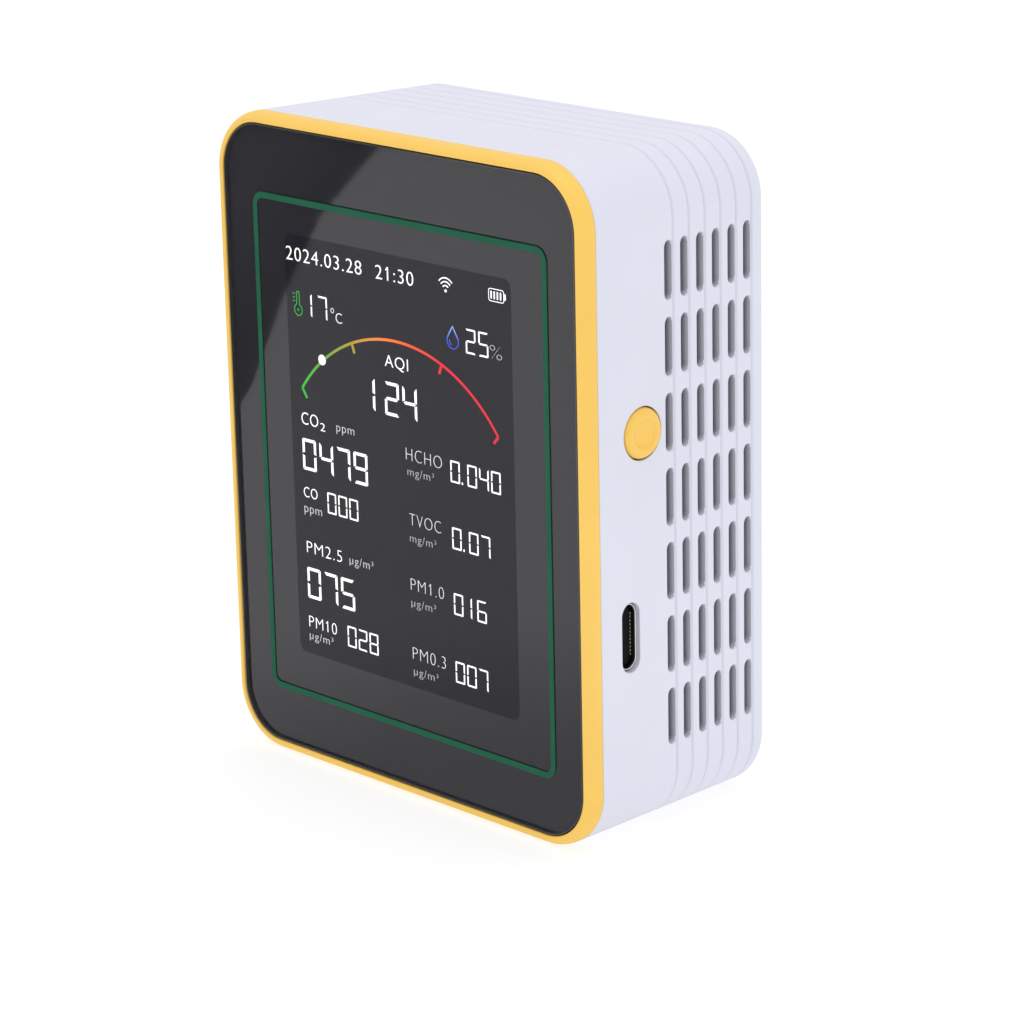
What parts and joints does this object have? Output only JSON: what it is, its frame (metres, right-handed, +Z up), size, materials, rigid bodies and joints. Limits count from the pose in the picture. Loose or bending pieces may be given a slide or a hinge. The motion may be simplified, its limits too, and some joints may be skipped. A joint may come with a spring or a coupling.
{
  "type": "air quality monitor",
  "caption": "Upright box-shaped air quality monitor with a framed display, grooved case, slotted side vents, a side push button and a charging socket.",
  "frame": {"origin": "middle of the base that the monitor stands on", "axes": "+Z up, -Y towards the viewer of the display, +X towards the button and socket side"},
  "size_m": [0.0702, 0.035, 0.09],
  "materials": {
    "white_case": "fine satin moulded ABS",
    "yellow_case": "satin moulded ABS",
    "smoked_lens": "polished smoked acrylic",
    "foam": "matte foam and tape",
    "steel": "plated steel",
    "gold": "gold-plated can",
    "lcd_glass": "polarised display glass",
    "white_plastic": "moulded plastic",
    "black_plastic": "moulded plastic",
    "green_board": "solder-masked laminate",
    "black_board": "black solder-masked laminate",
    "copper_film": "polyimide film",
    "silver_pouch": "laminated foil pouch",
    "red_wire": "insulated lead",
    "black_wire": "insulated lead",
    "grey_ribbon": "flat ribbon cable"
  },
  "bodies": {
    "housing": {"rear_shell": "white_case", "front_bezel": "yellow_case", "front_lens": "smoked_lens", "lens_tape": "foam", "case_screw_1": "steel", "case_screw_2": "steel", "case_screw_3": "steel", "case_screw_4": "steel", "pcb_screw_1": "steel", "pcb_screw_2": "steel", "pcb_screw_3": "steel", "pcb_screw_4": "steel", "display_gasket": "foam", "lcd_glass": "lcd_glass", "lcd_backlight": "white_plastic", "display_tape": "foam", "lcd_flex": "copper_film", "fpc_connector": "black_plastic", "main_pcb": "green_board", "usb_c_shell": "steel", "usb_c_tongue": "black_plastic", "switch_body": "black_plastic", "mcu_chip": "black_plastic", "charger_chip": "black_plastic", "wifi_board": "black_board", "wifi_shield": "steel", "buzzer": "black_plastic", "battery_cell": "silver_pouch", "battery_pad": "foam", "battery_header": "white_plastic", "battery_plug": "white_plastic", "battery_lead_positive": "red_wire", "battery_lead_negative": "black_wire", "pm_sensor_base": "black_plastic", "pm_sensor_lid": "steel", "pm_fan_pin": "steel", "pm_optic_block": "black_plastic", "pm_header": "white_plastic", "pm_plug": "white_plastic", "pm_cable": "grey_ribbon", "co2_sensor_board": "black_board", "co2_sensor_body": "gold", "co2_membrane": "white_plastic", "hcho_sensor": "white_plastic", "hcho_membrane": "foam", "co_sensor": "white_plastic", "voc_sensor": "steel", "temp_humidity_sensor": "black_plastic"},
    "button": {"power_button": "yellow_case", "switch_plunger": "white_plastic"},
    "fan": {"pm_fan_rotor": "black_plastic"}
  },
  "joints": [
    {"name": "power_button_press", "type": "slide", "parent": "housing", "child": "button", "axis": [-1, 0, 0], "range_m": [0, 0.0005], "stiffness_N_per_m": 1200},
    {"name": "pm_fan_spin", "type": "hinge", "parent": "housing", "child": "fan", "pos_m": [-0.0065, 0.009, 0.025], "axis": [0, 1, 0], "continuous": true}
  ]
}
